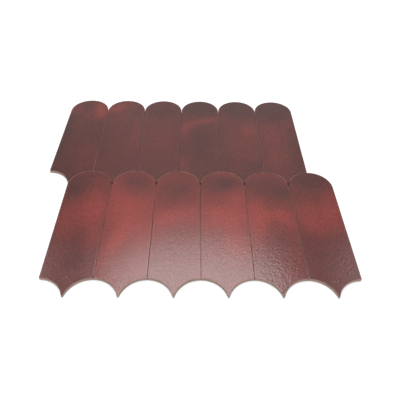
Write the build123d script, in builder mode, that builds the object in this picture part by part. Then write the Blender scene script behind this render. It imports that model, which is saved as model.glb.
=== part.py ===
from build123d import *
import os
from math import sqrt

# Self-adhesive metal mosaic tile: two staggered rows of long scales, laid joint to joint on an
# adhesive film with a peel-off liner. The origin is under the middle of the sheet, +X runs along
# the rows, +Y towards the round ends of the scales and +Z out of the decorated face.

# Driving dimensions
scales_per_row = 6
scale_pitch = 50.0  # joint to joint along a row
row_pitch = 150.0  # shoulder line of one row to that of the next
joint_width = 0.4  # open joint between neighbouring scales
scale_thickness = 3.0
rim_bevel = 0.35  # eased rim of the decorated face
tip_radius = 0.75  # blunt nose of the lower point
film_thickness = 0.25  # adhesive film that holds the scales together
liner_thickness = 0.15  # peel-off liner under the film
backing_inset = 0.8  # film and liner stop short of the scales' outer edges

# One scale: a round crown, and two hollows that each take half a crown of the next row
scale_width = scale_pitch - joint_width
crown_radius = scale_width / 2
hollow_radius = crown_radius + joint_width
tip_rise = sqrt((hollow_radius + tip_radius) ** 2 - (scale_pitch / 2) ** 2) - tip_radius

# The sheet: each row starts at its first joint line and hangs from its shoulder line
row_length = scales_per_row * scale_pitch
row_stagger = scale_pitch / 2
upper_start = -(row_length + row_stagger) / 2
lower_start = upper_start + row_stagger
sheet_middle = (2 * row_pitch + crown_radius + tip_rise) / 2
upper_shoulder = 2 * row_pitch - sheet_middle
lower_shoulder = row_pitch - sheet_middle
backing_thickness = liner_thickness + film_thickness


def crown_places(row_start, shoulder):
    return [(row_start + (i + 0.5) * scale_pitch, shoulder) for i in range(scales_per_row)]


def hollow_places(row_start, shoulder):
    return [(row_start + i * scale_pitch, shoulder - row_pitch) for i in range(scales_per_row + 1)]


def mosaic_scale(crown_x, shoulder):
    with BuildPart() as scale:
        with BuildSketch(Plane(origin=(crown_x, shoulder, backing_thickness))) as outline:
            Circle(crown_radius)
            with Locations((0, -row_pitch / 2)):
                Rectangle(scale_width, row_pitch)
            with Locations((-scale_pitch / 2, -row_pitch), (scale_pitch / 2, -row_pitch)):
                Circle(hollow_radius, mode=Mode.SUBTRACT)
            fillet(outline.vertices().sort_by(Axis.Y)[0], tip_radius)
        extrude(amount=scale_thickness)
        chamfer(scale.faces().sort_by(Axis.Z)[-1].edges(), rim_bevel)
    return scale.part


def backing_sheet(bottom, thickness):
    body_length = row_length - joint_width - 2 * backing_inset
    with BuildPart() as sheet:
        with BuildSketch(Plane.XY.offset(bottom)):
            # Upper row, hollowed only at its free end, where a neighbouring sheet's crown fits
            with Locations((upper_start + row_length / 2, upper_shoulder - row_pitch / 2)):
                Rectangle(body_length, row_pitch)
            with Locations(hollow_places(upper_start, upper_shoulder)[0]):
                Circle(hollow_radius + backing_inset, mode=Mode.SUBTRACT)
            # Lower row, hollowed all along its lower edge
            with Locations((lower_start + row_length / 2, lower_shoulder - row_pitch / 2)):
                Rectangle(body_length, row_pitch)
            with Locations(*hollow_places(lower_start, lower_shoulder)):
                Circle(hollow_radius + backing_inset, mode=Mode.SUBTRACT)
            with Locations(
                *crown_places(upper_start, upper_shoulder), *crown_places(lower_start, lower_shoulder)
            ):
                Circle(crown_radius - backing_inset)
        extrude(amount=thickness)
    return sheet.part


def save(piece, name):
    piece.label = name
    export_step(piece, f"parts/{name}.step")


os.makedirs("parts", exist_ok=True)
rows = {"upper": (upper_start, upper_shoulder), "lower": (lower_start, lower_shoulder)}
for row, (row_start, shoulder) in rows.items():
    for number, (crown_x, crown_y) in enumerate(crown_places(row_start, shoulder), start=1):
        save(mosaic_scale(crown_x, crown_y), f"{row}_scale_{number}")
save(backing_sheet(liner_thickness, film_thickness), "adhesive_film")
save(backing_sheet(0, liner_thickness), "release_liner")
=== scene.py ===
from math import cos, pi, radians, sin

import bpy
import numpy as np
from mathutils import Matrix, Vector


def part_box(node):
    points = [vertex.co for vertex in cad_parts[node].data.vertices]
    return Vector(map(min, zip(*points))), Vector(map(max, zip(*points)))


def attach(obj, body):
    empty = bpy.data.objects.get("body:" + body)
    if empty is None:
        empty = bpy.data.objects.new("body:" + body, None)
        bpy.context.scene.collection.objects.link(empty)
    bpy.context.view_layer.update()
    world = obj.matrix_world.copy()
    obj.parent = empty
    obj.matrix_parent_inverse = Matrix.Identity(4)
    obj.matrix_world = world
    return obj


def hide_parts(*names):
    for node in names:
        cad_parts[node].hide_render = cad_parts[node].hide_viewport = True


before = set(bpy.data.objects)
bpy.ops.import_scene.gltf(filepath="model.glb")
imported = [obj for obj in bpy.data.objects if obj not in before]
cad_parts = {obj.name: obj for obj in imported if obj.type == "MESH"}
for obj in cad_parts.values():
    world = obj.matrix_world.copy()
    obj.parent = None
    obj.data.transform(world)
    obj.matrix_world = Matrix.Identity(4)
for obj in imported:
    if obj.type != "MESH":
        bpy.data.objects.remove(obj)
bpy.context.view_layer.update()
mm = 0.001
rows = ("upper", "lower")
scalesPerRow = len([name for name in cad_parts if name.startswith("upper_scale")])
print("frame loaded:", len(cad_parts), "nodes,", scalesPerRow, "scales a row")


# Node helpers

def feed(tree, socket, value):
    if isinstance(value, bpy.types.NodeSocket):
        tree.links.new(value, socket)
    else:
        socket.default_value = value


def addNode(tree, kind, inputs=None, **settings):
    node = tree.nodes.new(kind)
    place = len(tree.nodes)
    node.location = (220 * (place % 12), -300 * (place // 12))  # readable in the node editor
    for name, value in settings.items():
        setattr(node, name, value)
    for name, value in (inputs or {}).items():
        feed(tree, node.inputs[name], value)
    return node


def calc(tree, operation, *values):
    return addNode(tree, "ShaderNodeMath", dict(enumerate(values)), operation=operation).outputs[0]


def newGeometryTree(name, inputs, outputs):
    tree = bpy.data.node_groups.new(name, "GeometryNodeTree")
    for label, kind in inputs.items():
        tree.interface.new_socket(name=label, in_out="INPUT", socket_type="NodeSocket" + kind)
    for label, kind in outputs.items():
        tree.interface.new_socket(name=label, in_out="OUTPUT", socket_type="NodeSocket" + kind)
    given = tree.nodes.new("NodeGroupInput").outputs
    result = tree.nodes.new("NodeGroupOutput").inputs
    return tree, given, result


def newMaterial(name):
    material = bpy.data.materials.new(name)
    material.use_nodes = True
    tree = material.node_tree
    tree.nodes.clear()
    return material, tree


def noise(tree, place, size, detail):
    texture = addNode(
        tree, "ShaderNodeTexNoise", {"Vector": place, "Scale": 1 / size, "Detail": detail}
    )
    return texture.outputs["Fac"]


def spread(tree, value, low, high):  # a 0 to 1 value laid over low to high
    return addNode(
        tree, "ShaderNodeMapRange", {"Value": value, "To Min": low, "To Max": high}
    ).outputs["Result"]


def blend(tree, share, first, second):
    mix = addNode(tree, "ShaderNodeMix", {0: share, 6: first, 7: second}, data_type="RGBA")
    return mix.outputs[2]


def surface(tree, shader):
    addNode(tree, "ShaderNodeOutputMaterial", {"Surface": shader.outputs[0]})


# Materials

paint = {
    "dark": (0.056, 0.020, 0.018, 1),  # grey-brown ground
    "red": (0.264, 0.042, 0.034, 1),  # full sprayed red
    "mostRed": 1.2,  # share of red at its strongest
    "blotchSize": 9 * mm,
    "blotchDepth": 0.07,
    "grainSize": 1.25 * mm,  # fine light and dark specks
    "grainShades": (0.35, 1.65),
    "roughness": (0.165, 0.205),
    "specular": 0.20,
    "pebbleSize": 1.0 * mm,
    "pebbleDepth": 0.004 * mm,
}


def paintMaterial(look):
    material, tree = newMaterial("cloudedRedPaint")
    place = addNode(tree, "ShaderNodeTexCoord").outputs["Object"]
    redShare = addNode(tree, "ShaderNodeAttribute", attribute_name="redShare").outputs["Fac"]
    blotch = noise(tree, place, look["blotchSize"], detail=3)
    drift = spread(tree, blotch, -look["blotchDepth"], look["blotchDepth"])
    share = addNode(
        tree, "ShaderNodeClamp", {"Value": calc(tree, "ADD", redShare, drift), "Max": look["mostRed"]}
    ).outputs[0]
    grain = noise(tree, place, look["grainSize"], detail=1)
    colour = addNode(
        tree,
        "ShaderNodeVectorMath",
        {
            "Vector": blend(tree, share, look["dark"], look["red"]),
            "Scale": spread(tree, grain, *look["grainShades"]),
        },
        operation="SCALE",
    ).outputs[0]
    pebble = addNode(
        tree,
        "ShaderNodeBump",
        {
            "Height": noise(tree, place, look["pebbleSize"], detail=1),
            "Distance": look["pebbleDepth"],
        },
    ).outputs["Normal"]
    shader = addNode(
        tree,
        "ShaderNodeBsdfPrincipled",
        {
            "Base Color": colour,
            "Roughness": spread(tree, blotch, *look["roughness"]),
            "Specular IOR Level": look["specular"],
            "Normal": pebble,
        },
    )
    surface(tree, shader)
    return material


cutEdge = {
    "pale": (0.57, 0.375, 0.30, 1),
    "dull": (0.42, 0.27, 0.215, 1),
    "streakWidth": 0.5 * mm,
    "streakLength": 8 * mm,
    "paintedShadeTone": (0.035, 0.024, 0.021, 1),  # painted shade in the side joints and in the holes under the noses
    "roughness": (0.42, 0.60),
    "specular": 0.3,
}


def cutEdgeMaterial(look):
    material, tree = newMaterial("paleCutEdge")
    place = addNode(tree, "ShaderNodeTexCoord").outputs["Object"]
    stretch = addNode(
        tree,
        "ShaderNodeMapping",
        {"Vector": place, "Scale": (1, 1, look["streakWidth"] / look["streakLength"])},
    ).outputs[0]
    streak = noise(tree, stretch, look["streakWidth"], detail=2)
    # painted shade in the joints, read from the point attribute, darkens the pale cut edge
    paintedShade = addNode(tree, "ShaderNodeAttribute", attribute_name="paintedShade").outputs["Fac"]
    metal = blend(tree, streak, look["dull"], look["pale"])
    shader = addNode(
        tree,
        "ShaderNodeBsdfPrincipled",
        {
            "Base Color": blend(tree, paintedShade, metal, look["paintedShadeTone"]),
            "Roughness": spread(tree, streak, *look["roughness"]),
            "Specular IOR Level": look["specular"],
        },
    )
    surface(tree, shader)
    return material


backMetal = {
    "light": (0.62, 0.62, 0.60, 1),
    "shade": (0.48, 0.48, 0.47, 1),
    "grainWidth": 0.6 * mm,
    "grainLength": 40 * mm,
    "metallic": 0.9,
    "roughness": (0.35, 0.5),
}


def backMetalMaterial(look):
    material, tree = newMaterial("millFinishBack")
    place = addNode(tree, "ShaderNodeTexCoord").outputs["Object"]
    stretch = addNode(
        tree,
        "ShaderNodeMapping",
        {"Vector": place, "Scale": (1, look["grainWidth"] / look["grainLength"], 1)},
    ).outputs[0]
    grain = noise(tree, stretch, look["grainWidth"], detail=3)
    shader = addNode(
        tree,
        "ShaderNodeBsdfPrincipled",
        {
            "Base Color": blend(tree, grain, look["shade"], look["light"]),
            "Metallic": look["metallic"],
            "Roughness": spread(tree, grain, *look["roughness"]),
        },
    )
    surface(tree, shader)
    return material


adhesive = {
    "dark": (0.016, 0.015, 0.015, 1),
    "light": (0.030, 0.028, 0.027, 1),
    "mottleSize": 2.5 * mm,
    "roughness": (0.5, 0.7),
    "bumpDepth": 0.03 * mm,
}


def adhesiveMaterial(look):
    material, tree = newMaterial("greyAdhesive")
    place = addNode(tree, "ShaderNodeTexCoord").outputs["Object"]
    mottle = noise(tree, place, look["mottleSize"], detail=4)
    bump = addNode(
        tree, "ShaderNodeBump", {"Height": mottle, "Distance": look["bumpDepth"]}
    ).outputs["Normal"]
    shader = addNode(
        tree,
        "ShaderNodeBsdfPrincipled",
        {
            "Base Color": blend(tree, mottle, look["dark"], look["light"]),
            "Roughness": spread(tree, mottle, *look["roughness"]),
            "Normal": bump,
        },
    )
    surface(tree, shader)
    return material


liner = {
    "paper": (0.74, 0.73, 0.69, 1),
    "fibre": (0.66, 0.64, 0.59, 1),
    "fibreWidth": 0.5 * mm,
    "fibreLength": 6 * mm,
    "cloudSize": 14 * mm,
    "roughness": (0.35, 0.5),
    "bumpDepth": 0.02 * mm,
}


def linerMaterial(look):
    material, tree = newMaterial("releasePaper")
    place = addNode(tree, "ShaderNodeTexCoord").outputs["Object"]
    stretch = addNode(
        tree,
        "ShaderNodeMapping",
        {"Vector": place, "Scale": (look["fibreWidth"] / look["fibreLength"], 1, 1)},
    ).outputs[0]
    fibre = noise(tree, stretch, look["fibreWidth"], detail=2)
    cloud = noise(tree, place, look["cloudSize"], detail=4)
    share = calc(tree, "MULTIPLY", fibre, cloud)
    bump = addNode(
        tree, "ShaderNodeBump", {"Height": fibre, "Distance": look["bumpDepth"]}
    ).outputs["Normal"]
    shader = addNode(
        tree,
        "ShaderNodeBsdfPrincipled",
        {
            "Base Color": blend(tree, share, look["paper"], look["fibre"]),
            "Roughness": spread(tree, cloud, *look["roughness"]),
            "Normal": bump,
        },
    )
    surface(tree, shader)
    return material


# The scale: a round crown, straight sides, and two hollows with a blunt nose between them

scaleShape = {
    "columns": 96,  # faces across
    "rows": 300,  # faces from nose to crown
    "noseColumns": 4,  # of them on each half of the nose
    "rimRadius": 0.13 * mm,
    "rimSteps": 4,
    "paintedSteps": 2,  # the paint stops half way round the rim
    "reliefSize": 1.2 * mm,  # pebbles of the paint
    "reliefHeight": 0.132 * mm,
    "sharpAngle": radians(40),
    "weldDistance": 0.001 * mm,
}
cornerTurn = pi / 4  # where the grid's top corners sit on the crown
easing = 3.0  # how quickly the rows straighten away from crown and nose
outlineSizes = ("Crown Radius", "Hollow Radius", "Nose Radius", "Pitch", "Row Pitch", "Nose Share")


def scaleSizes():
    low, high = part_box("upper_scale_1")
    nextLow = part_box("upper_scale_2")[0]
    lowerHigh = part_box("lower_scale_1")[1]
    pitch = nextLow.x - low.x
    rowPitch = high.y - lowerHigh.y
    crown = (high.x - low.x) / 2
    hollow = crown + pitch - (high.x - low.x)
    tipRise = low.y - (high.y - crown - rowPitch)  # lowest point above the next shoulder line
    nose = (tipRise**2 + (pitch / 2) ** 2 - hollow**2) / (2 * (hollow - tipRise))
    return {
        "Crown Radius": crown,
        "Hollow Radius": hollow,
        "Nose Radius": nose,
        "Pitch": pitch,
        "Row Pitch": rowPitch,
        "Nose Share": 2 * scaleShape["noseColumns"] / scaleShape["columns"],
    }


def scaleOutlineTree():
    labels = ("Across", "Along", "Inset", "Height", *outlineSizes)
    tree, given, result = newGeometryTree(
        "scaleOutline", {label: "Float" for label in labels}, {"Point": "Vector"}
    )

    def work(operation, *values):
        return calc(tree, operation, *values)

    across, along, inset = given["Across"], given["Along"], given["Inset"]
    side = work("ABSOLUTE", across)
    hand = work("SIGN", across)
    halfPitch = work("MULTIPLY", given["Pitch"], 0.5)
    crown = work("SUBTRACT", given["Crown Radius"], inset)
    hollow = work("ADD", given["Hollow Radius"], inset)
    nose = work("SUBTRACT", given["Nose Radius"], inset)
    nextRow = work("MULTIPLY", given["Row Pitch"], -1.0)

    # Bottom edge: the nose arc, then the hollow's arc out to the corner
    centres = work("ADD", given["Hollow Radius"], given["Nose Radius"])
    startTurn = work("ARCCOSINE", work("DIVIDE", halfPitch, centres))
    endTurn = work("ARCCOSINE", work("DIVIDE", work("SUBTRACT", halfPitch, crown), hollow))
    beyond = work("MAXIMUM", work("SUBTRACT", side, given["Nose Share"]), 0.0)
    hollowShare = work("DIVIDE", beyond, work("SUBTRACT", 1.0, given["Nose Share"]))
    hollowTurn = work(
        "MULTIPLY_ADD", hollowShare, work("SUBTRACT", endTurn, startTurn), startTurn
    )
    hollowX = work("SUBTRACT", halfPitch, work("MULTIPLY", hollow, work("COSINE", hollowTurn)))
    hollowY = work("MULTIPLY_ADD", hollow, work("SINE", hollowTurn), nextRow)
    noseShare = work("MINIMUM", work("DIVIDE", side, given["Nose Share"]), 1.0)
    noseTurn = work("MULTIPLY", noseShare, work("SUBTRACT", pi / 2, startTurn))
    noseCentre = work("MULTIPLY_ADD", centres, work("SINE", startTurn), nextRow)
    noseX = work("MULTIPLY", nose, work("SINE", noseTurn))
    noseY = work("SUBTRACT", noseCentre, work("MULTIPLY", nose, work("COSINE", noseTurn)))
    onNose = work("LESS_THAN", side, given["Nose Share"])
    bottomX = work("MULTIPLY_ADD", onNose, work("SUBTRACT", noseX, hollowX), hollowX)
    bottomY = work("MULTIPLY_ADD", onNose, work("SUBTRACT", noseY, hollowY), hollowY)
    cornerY = work("MULTIPLY_ADD", hollow, work("SINE", endTurn), nextRow)

    # Top edge: the middle of the crown's arc
    crownTurn = work("MULTIPLY", across, cornerTurn)
    topX = work("MULTIPLY", crown, work("SINE", crownTurn))
    topY = work("MULTIPLY", crown, work("COSINE", crownTurn))
    shoulderX = work("MULTIPLY", crown, sin(cornerTurn))
    shoulderY = work("MULTIPLY", crown, cos(cornerTurn))

    # Side edge: straight up to the shoulder line, then round to the top edge
    straight = work("MULTIPLY", cornerY, -1.0)
    sideLength = work("MULTIPLY_ADD", crown, pi / 2 - cornerTurn, straight)
    travelled = work("MULTIPLY", along, sideLength)
    rounding = work(
        "MAXIMUM", work("DIVIDE", work("SUBTRACT", travelled, straight), crown), 0.0
    )
    sideX = work("MULTIPLY", crown, work("COSINE", rounding))
    sideRise = work("MINIMUM", work("ADD", travelled, cornerY), 0.0)
    sideY = work("MULTIPLY_ADD", crown, work("SINE", rounding), sideRise)

    # Inside, the edges are blended
    nearBottom = work("POWER", work("SUBTRACT", 1.0, along), easing)
    nearTop = work("POWER", along, easing)
    bottomPull = work("SUBTRACT", work("MULTIPLY", hand, bottomX), work("MULTIPLY", across, crown))
    topPull = work("SUBTRACT", topX, work("MULTIPLY", across, shoulderX))
    x = work("MULTIPLY", across, sideX)
    x = work("MULTIPLY_ADD", nearBottom, bottomPull, x)
    x = work("MULTIPLY_ADD", nearTop, topPull, x)
    y = work("MULTIPLY_ADD", nearBottom, work("SUBTRACT", bottomY, cornerY), sideY)
    y = work("MULTIPLY_ADD", nearTop, work("SUBTRACT", topY, shoulderY), y)
    point = addNode(tree, "ShaderNodeCombineXYZ", {"X": x, "Y": y, "Z": given["Height"]})
    feed(tree, result["Point"], point.outputs[0])
    return tree


def scaleTree(outlineTree, shape):
    lengths = (*outlineSizes, "Thickness", "Rim Radius", "Relief Size", "Relief Height", "Seed")
    materials = ("Paint", "Cut Edge", "Back")
    tree, given, result = newGeometryTree(
        "mosaicScale",
        {
            "Geometry": "Geometry",
            **{label: "Float" for label in lengths},
            "Crown Centre": "Vector",
            **{label: "Material" for label in materials},
        },
        {"Geometry": "Geometry"},
    )
    top, rim = given["Thickness"], given["Rim Radius"]

    def keep(mesh, label, value):
        return addNode(
            tree,
            "GeometryNodeStoreNamedAttribute",
            {"Geometry": mesh, "Name": label, "Value": value},
            data_type="FLOAT",
            domain="POINT",
        ).outputs[0]

    def kept(label):
        return addNode(
            tree, "GeometryNodeInputNamedAttribute", {"Name": label}, data_type="FLOAT"
        ).outputs[0]

    def outline(inset, height):
        inputs = {"Across": kept("across"), "Along": kept("along"), "Inset": inset, "Height": height}
        inputs.update({label: given[label] for label in outlineSizes})
        node = addNode(tree, "GeometryNodeGroup", node_tree=outlineTree)
        for label, value in inputs.items():
            feed(tree, node.inputs[label], value)
        return node.outputs[0]

    def moved(mesh, position, chosen=True):
        return addNode(
            tree,
            "GeometryNodeSetPosition",
            {"Geometry": mesh, "Selection": chosen, "Position": position},
        ).outputs[0]

    def covered(mesh, material, chosen=True):
        return addNode(
            tree,
            "GeometryNodeSetMaterial",
            {"Geometry": mesh, "Selection": chosen, "Material": material},
        ).outputs[0]

    # Decorated face
    grid = addNode(
        tree,
        "GeometryNodeMeshGrid",
        {
            "Size X": 2.0,
            "Size Y": 1.0,
            "Vertices X": shape["columns"] + 1,
            "Vertices Y": shape["rows"] + 1,
        },
    )
    cell = addNode(
        tree,
        "ShaderNodeSeparateXYZ",
        {0: addNode(tree, "GeometryNodeInputPosition").outputs[0]},
    )
    mesh = keep(grid.outputs["Mesh"], "across", cell.outputs["X"])
    mesh = keep(mesh, "along", calc(tree, "ADD", cell.outputs["Y"], 0.5))
    mesh = moved(mesh, outline(rim, top))
    mesh = covered(mesh, given["Paint"])

    # Rounded rim, ring by ring, then the wall down to the film
    faces = addNode(tree, "GeometryNodeInputMeshEdgeNeighbors").outputs[0]
    edge = calc(tree, "LESS_THAN", faces, 1.5)
    rings = []
    for step in range(1, shape["rimSteps"] + 1):
        turn = pi / 2 * step / shape["rimSteps"]
        inset = calc(tree, "MULTIPLY", rim, 1 - sin(turn))
        height = calc(tree, "MULTIPLY_ADD", rim, cos(turn) - 1, top)
        rings.append((inset, height, given["Paint" if step <= shape["paintedSteps"] else "Cut Edge"]))
    rings.append((0.0, 0.0, given["Cut Edge"]))
    for inset, height, material in rings:
        ring = addNode(
            tree,
            "GeometryNodeExtrudeMesh",
            {"Mesh": mesh, "Selection": edge, "Offset Scale": 0.0},
            mode="EDGES",
        )
        mesh = moved(ring.outputs["Mesh"], outline(inset, height), ring.outputs["Top"])
        mesh = covered(mesh, material, ring.outputs["Side"])
        edge = ring.outputs["Top"]

    # Underside
    loop = addNode(tree, "GeometryNodeMeshToCurve", {"Mesh": mesh, "Selection": edge}).outputs[0]
    cap = addNode(tree, "GeometryNodeFillCurve", {"Curve": loop}, mode="TRIANGLES").outputs[0]
    cap = addNode(tree, "GeometryNodeFlipFaces", {"Mesh": cap}).outputs[0]
    cap = covered(cap, given["Back"])
    join = addNode(tree, "GeometryNodeJoinGeometry")
    for piece in (cap, mesh):
        tree.links.new(piece, join.inputs[0])
    mesh = addNode(
        tree,
        "GeometryNodeMergeByDistance",
        {"Geometry": join.outputs[0], "Distance": shape["weldDistance"]},
    ).outputs[0]
    angle = addNode(tree, "GeometryNodeInputMeshEdgeAngle").outputs["Unsigned Angle"]
    sharp = calc(tree, "GREATER_THAN", angle, shape["sharpAngle"])
    mesh = addNode(
        tree, "GeometryNodeSetShadeSmooth", {"Geometry": mesh, "Shade Smooth": True}, domain="FACE"
    ).outputs[0]
    mesh = addNode(
        tree,
        "GeometryNodeSetShadeSmooth",
        {"Geometry": mesh, "Selection": sharp, "Shade Smooth": False},
        domain="EDGE",
    ).outputs[0]

    # Pebbled relief, sunk into the face and fading out round the rim
    position = addNode(tree, "GeometryNodeInputPosition").outputs[0]
    height = addNode(tree, "ShaderNodeSeparateXYZ", {0: position}).outputs["Z"]
    onFace = addNode(
        tree,
        "ShaderNodeMapRange",
        {"Value": height, "From Min": calc(tree, "SUBTRACT", top, rim), "From Max": top},
    ).outputs[0]
    pebble = addNode(
        tree,
        "ShaderNodeTexNoise",
        {
            "Vector": position,
            "W": given["Seed"],
            "Scale": calc(tree, "DIVIDE", 1.0, given["Relief Size"]),
            "Detail": 0.0,
        },
        noise_dimensions="4D",
    ).outputs[0]
    depth = calc(tree, "MULTIPLY", calc(tree, "MULTIPLY", pebble, given["Relief Height"]), onFace)
    sink = addNode(tree, "ShaderNodeCombineXYZ", {"Z": calc(tree, "MULTIPLY", depth, -1.0)})
    mesh = addNode(
        tree, "GeometryNodeSetPosition", {"Geometry": mesh, "Offset": sink.outputs[0]}
    ).outputs[0]
    mesh = addNode(
        tree, "GeometryNodeTransform", {"Geometry": mesh, "Translation": given["Crown Centre"]}
    ).outputs[0]
    for label in ("across", "along"):
        mesh = addNode(
            tree, "GeometryNodeRemoveAttribute", {"Geometry": mesh, "Name": label}
        ).outputs[0]
    mesh = addNode(tree, "GeometryNodeRealizeInstances", {"Geometry": mesh}).outputs[0]
    feed(tree, result["Geometry"], mesh)
    return tree


def plainMesh(name, tree, inputs):
    holder = bpy.data.objects.new(name, bpy.data.meshes.new(name + "Start"))
    bpy.context.scene.collection.objects.link(holder)
    modifier = holder.modifiers.new(name, "NODES")
    modifier.node_group = tree
    inSockets = [item for item in tree.interface.items_tree if item.in_out == "INPUT"]
    sockets = {item.name: item.identifier for item in inSockets}
    for label, value in inputs.items():
        modifier[sockets[label]] = value
    depsgraph = bpy.context.evaluated_depsgraph_get()
    mesh = bpy.data.meshes.new_from_object(holder.evaluated_get(depsgraph), depsgraph=depsgraph)
    if mesh.materials[0] is None:  # the grid's own empty slot
        mesh.materials.pop(index=0)
    holder.modifiers.clear()
    holder.data = mesh
    return holder


# Sprayed clouds of red on each scale: x and y from the crown's centre and reach across and along,
# all in millimetres, turn in degrees, then how much red the cloud adds or takes away
sprayedRed = {
    "upper_scale_1": (0.09, [
        (16, 4, 9, 20, 15, 0.34), (-20, 2, 9, 10, 0, 0.16), (8, -12, 16, 12, 0, 0.14),
        (-24, -55, 9, 50, 0, -0.10), (14, -98, 14, 30, 0, 0.08),
    ]),
    "upper_scale_2": (0.14, [
        (-14, 6, 17, 10, 30, 0.22), (20, 2, 9, 14, 0, -0.07), (18, -58, 6, 28, 0, 0.10),
        (-22, -70, 7, 40, 0, -0.04),
    ]),
    "upper_scale_3": (0.15, [
        (0, 0, 26, 18, 0, -0.12), (0, 18, 24, 8, 0, -0.04), (2, -62, 14, 26, 0, 0.07),
    ]),
    "upper_scale_4": (0.12, [
        (0, 8, 28, 18, 0, -0.17), (10, -22, 17, 7, 10, 0.20), (-14, -32, 13, 8, 45, 0.18),
        (-21, -48, 6, 16, 0, 0.14), (2, -72, 13, 32, 0, -0.08), (22, -90, 6, 18, 0, 0.06),
        (-20, -112, 8, 16, 0, 0.14),
    ]),
    "upper_scale_5": (0.13, [
        (2, 6, 26, 20, 0, -0.16), (14, -42, 11, 14, 0, 0.18), (4, -75, 20, 32, 0, 0.11),
        (16, -112, 12, 8, 0, -0.06),
    ]),
    "upper_scale_6": (0.12, [
        (0, 4, 28, 22, 0, -0.18), (-6, -50, 18, 20, 20, 0.13), (-8, -95, 16, 36, 0, 0.15),
        (16, -28, 10, 10, 0, 0.06), (22, -75, 10, 40, 0, -0.04),
    ]),
    "lower_scale_1": (0.27, [
        (-14, -2, 14, 18, 0, -0.20), (0, 18, 26, 8, 0, -0.06), (12, -38, 17, 30, 0, 0.48),
        (-14, -50, 12, 26, 0, 0.22), (18, -78, 9, 16, 0, 0.22), (2, -104, 12, 16, 0, -0.08),
        (22, -115, 8, 12, 0, 0.08),
    ]),
    "lower_scale_2": (0.60, [
        (0, 16, 26, 16, 0, -0.30), (8, -2, 22, 16, 0, -0.24), (-10, -32, 16, 24, 0, 0.22),
        (9, -44, 17, 24, 0, 0.18), (-7, -74, 9, 26, -17, 0.42), (14, -72, 12, 18, 0, 0.20),
        (12, -108, 14, 14, 0, 0.08),
    ]),
    "lower_scale_3": (0.53, [
        (0, 10, 30, 22, 0, -0.22), (0, -14, 26, 16, 0, -0.19), (-12, -50, 14, 13, 20, 0.32),
        (11, -44, 16, 16, 0, 0.22), (-20, -68, 10, 16, 0, 0.10),
    ]),
    "lower_scale_4": (0.56, [
        (-10, 4, 20, 20, 0, -0.38), (14, 6, 16, 14, 0, -0.28), (0, -45, 30, 16, 0, 0.36),
        (14, -22, 12, 12, 0, 0.16), (10, -78, 13, 26, 0, 0.27), (-16, -62, 12, 10, 0, 0.10),
    ]),
    "lower_scale_5": (0.42, [
        (0, 0, 28, 22, 0, -0.25), (20, -12, 12, 14, 0, -0.16), (-16, -46, 14, 26, 0, 0.46),
        (8, -44, 14, 10, 0, 0.38), (18, -56, 10, 10, 0, 0.20), (-20, -80, 9, 16, 0, 0.16),
        (6, -80, 16, 16, 0, -0.08),
    ]),
    "lower_scale_6": (0.26, [
        (0, 14, 27, 18, 0, -0.18), (-8, -42, 20, 18, 0, 0.38), (18, -34, 12, 24, 0, 0.36),
        (0, -62, 24, 12, 0, 0.25), (-6, -100, 14, 14, 0, -0.04),
    ]),
}
sprayEdge = 1.5  # higher gives a cloud a flatter middle and a quicker edge


def pointPlaces(mesh, centre):  # across and along from the crown's centre, in millimetres
    places = np.empty(len(mesh.vertices) * 3, np.float32)
    mesh.vertices.foreach_get("co", places)
    return (places[0::3] - centre.x) / mm, (places[1::3] - centre.y) / mm


def sprayRed(mesh, centre, ground, clouds):
    across, along = pointPlaces(mesh, centre)
    share = np.full(len(mesh.vertices), ground, np.float32)
    for x, y, reachAcross, reachAlong, turn, strength in clouds:
        cosine, sine = cos(radians(turn)), sin(radians(turn))
        u = ((across - x) * cosine + (along - y) * sine) / reachAcross
        v = ((along - y) * cosine - (across - x) * sine) / reachAlong
        share += strength * np.exp(-((u * u + v * v) ** sprayEdge))
    layer = mesh.attributes.new("redShare", "FLOAT", "POINT")
    layer.data.foreach_set("value", np.clip(share, 0, paint["mostRed"]).astype(np.float32))


# Painted shade on the cut edges in the side joints and in the holes under the noses; reach, drop and
# depth in millimetres
jointPaintedShade = {
    "sides": 0.32,  # share along the side joints
    "sideDepth": 0.4,
    "holes": 1.0,  # share in the small holes under the noses
    "holeReach": 3.2,
    "holeDrop": 1.5,  # how far below the nose a hole's middle lies
}


def paintJointShade(mesh, centre, number, halfWidth, look):
    across, along = pointPlaces(mesh, centre)
    half = halfWidth / mm - look["sideDepth"]
    onLeft = (across < -half) & (number > 1)
    onRight = (across > half) & (number < scalesPerRow)
    paintedShade = look["sides"] * (onLeft | onRight).astype(np.float32)
    for other in range(2, scalesPerRow + 1):  # the upper row's noses that stand in a joint
        low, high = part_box(f"upper_scale_{other}")
        x = ((low.x + high.x) / 2 - centre.x) / mm
        y = (low.y - centre.y) / mm - look["holeDrop"]
        near = np.exp(-((((across - x) ** 2 + (along - y) ** 2) / look["holeReach"] ** 2) ** 2))
        paintedShade = np.maximum(paintedShade, look["holes"] * near)
    # stored as a point attribute: how much painted shade darkens the cut edge
    layer = mesh.attributes.new("paintedShade", "FLOAT", "POINT")
    layer.data.foreach_set("value", paintedShade.astype(np.float32))


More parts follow.
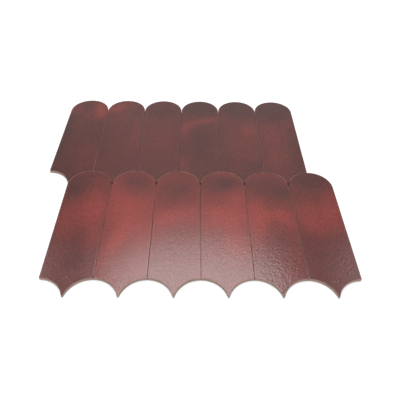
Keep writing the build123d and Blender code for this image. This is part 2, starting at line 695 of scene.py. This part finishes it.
sizes = scaleSizes()
scaleLow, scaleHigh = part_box("upper_scale_1")
thickness = scaleHigh.z - scaleLow.z
finishes = {
    "Paint": paintMaterial(paint),
    "Cut Edge": cutEdgeMaterial(cutEdge),
    "Back": backMetalMaterial(backMetal),
}
mosaicScale = scaleTree(scaleOutlineTree(), scaleShape)
for row in rows:
    for number in range(1, scalesPerRow + 1):
        node = f"{row}_scale_{number}"
        low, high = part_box(node)
        centre = Vector(((low.x + high.x) / 2, high.y - sizes["Crown Radius"], low.z))
        scale = plainMesh(
            f"{row}Scale{number}",
            mosaicScale,
            {
                **sizes,
                **finishes,
                "Thickness": thickness,
                "Rim Radius": scaleShape["rimRadius"],
                "Relief Size": scaleShape["reliefSize"],
                "Relief Height": scaleShape["reliefHeight"],
                "Seed": float(number + scalesPerRow * rows.index(row)),
                "Crown Centre": centre,
            },
        )
        sprayRed(scale.data, centre, *sprayedRed[node])
        # paint shade into the cut edges in the side joints and nose holes
        paintJointShade(scale.data, centre, number, sizes["Crown Radius"], jointPaintedShade)
        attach(scale, "root")
        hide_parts(node)
    print(row, "row laid,", len(scale.data.polygons), "faces a scale")

# Adhesive film and release liner keep their CAD shape
for node, material in (
    ("adhesive_film", adhesiveMaterial(adhesive)),
    ("release_liner", linerMaterial(liner)),
):
    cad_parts[node].data.materials.clear()
    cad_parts[node].data.materials.append(material)
print("film and liner finished")

# Studio: white floor and surroundings, a round softbox above and behind, dimmer panels about it
# and a low lamp in front
studio = {
    "floorSize": 8.0,
    "floorColour": (0.25, 0.25, 0.25, 1),
    "floorGlow": 0.85,
    "shadeReach": 1.2 * mm,  # how near a wall the glow is shaded
    "fillStrength": 0.18,
}
lamps = {
    "softbox": {
        "shape": "ELLIPSE",
        "place": (0.005, 0.51, 1.0),
        "aim": (0.005, 0.51, 0),
        "size": (0.69, 0.42),
        "power": 11.2,
    },
    "leftPanel": {
        "shape": "RECTANGLE",
        "place": (-0.825, 0.54, 1.0),
        "aim": (-0.825, 0.54, 0),
        "size": (0.55, 0.36),
        "power": 4.2,
    },
    "rightPanel": {
        "shape": "RECTANGLE",
        "place": (0.825, 0.54, 1.0),
        "aim": (0.825, 0.54, 0),
        "size": (0.55, 0.36),
        "power": 3.1,
    },
    "nearPanel": {
        "shape": "RECTANGLE",
        "place": (0.0, 0.37, 1.001),
        "aim": (0.0, 0.37, 0),
        "size": (1.6, 0.36),
        "power": 1.6,
    },
    "rearPanel": {
        "shape": "RECTANGLE",
        "place": (0.05, 1.35, 1.0),
        "aim": (0.05, 1.35, 0),
        "size": (0.95, 1.1),
        "power": 0.8,
    },
    "middlePanel": {
        "shape": "RECTANGLE",
        "place": (0.1, 1.08, 1.002),
        "aim": (0.1, 1.08, 0),
        "size": (0.9, 0.42),
        "power": 0.32,
    },
    "frontLamp": {
        "shape": "RECTANGLE",
        "place": (0.0, -1.2, 0.35),
        "aim": (0, 0, 0),
        "size": (1.6, 0.5),
        "power": 7.0,
    },
}


def seenDirectly(tree):  # 1 for what the lens, a mirror or a glass sees
    path = addNode(tree, "ShaderNodeLightPath").outputs
    direct = calc(tree, "ADD", path["Is Camera Ray"], path["Is Glossy Ray"])
    return calc(tree, "MINIMUM", calc(tree, "ADD", direct, path["Is Transmission Ray"]), 1.0)


def layFloor(look):
    half = look["floorSize"] / 2
    mesh = bpy.data.meshes.new("studioFloor")
    corners = [(-half, -half, 0), (half, -half, 0), (half, half, 0), (-half, half, 0)]
    mesh.from_pydata(corners, [], [(0, 1, 2, 3)])
    material, tree = newMaterial("whiteFloor")
    matt = addNode(tree, "ShaderNodeBsdfDiffuse", {"Color": look["floorColour"]})
    shade = addNode(tree, "ShaderNodeAmbientOcclusion", {"Distance": look["shadeReach"]})
    openGlow = calc(tree, "MULTIPLY", shade.outputs["AO"], look["floorGlow"])
    glow = calc(tree, "MULTIPLY", openGlow, seenDirectly(tree))
    lit = addNode(tree, "ShaderNodeEmission", {"Strength": glow})
    surface(tree, addNode(tree, "ShaderNodeAddShader", {0: matt.outputs[0], 1: lit.outputs[0]}))
    mesh.materials.append(material)
    floor = bpy.data.objects.new("studioFloor", mesh)
    bpy.context.scene.collection.objects.link(floor)


def lightWorld(look):
    world = bpy.data.worlds.new("whiteStudio")
    world.use_nodes = True
    tree = world.node_tree
    tree.nodes.clear()
    strength = spread(tree, seenDirectly(tree), look["fillStrength"], 1.0)
    background = addNode(tree, "ShaderNodeBackground", {"Color": (1, 1, 1, 1), "Strength": strength})
    addNode(tree, "ShaderNodeOutputWorld", {"Surface": background.outputs[0]})
    bpy.context.scene.world = world


def hangLamp(name, look):
    lamp = bpy.data.lights.new(name, "AREA")
    lamp.shape = look["shape"]
    lamp.size, lamp.size_y = look["size"]
    lamp.energy = look["power"]
    hung = bpy.data.objects.new(name, lamp)
    hung.location = look["place"]
    aim = Vector(look["aim"]) - Vector(look["place"])
    hung.rotation_euler = aim.to_track_quat("-Z", "Y").to_euler()
    bpy.context.scene.collection.objects.link(hung)


layFloor(studio)
lightWorld(studio)
for name, look in lamps.items():
    hangLamp(name, look)
print("studio lit")

# Camera, standing before the sheet and looking down on it
viewpoint = {
    "place": (0.00552, -0.38034, 0.34409),
    "turn": (45.198, -0.834, -0.242),  # degrees
    "lens": 39.854,
    "sensor": 36.0,
}
camera = bpy.data.cameras.new("photoCamera")
camera.lens = viewpoint["lens"]
camera.sensor_width = viewpoint["sensor"]
cameraStand = bpy.data.objects.new("photoCamera", camera)
cameraStand.location = viewpoint["place"]
cameraStand.rotation_euler = [radians(angle) for angle in viewpoint["turn"]]
bpy.context.scene.collection.objects.link(cameraStand)
bpy.context.scene.camera = cameraStand
bpy.context.scene.view_settings.view_transform = "Standard"
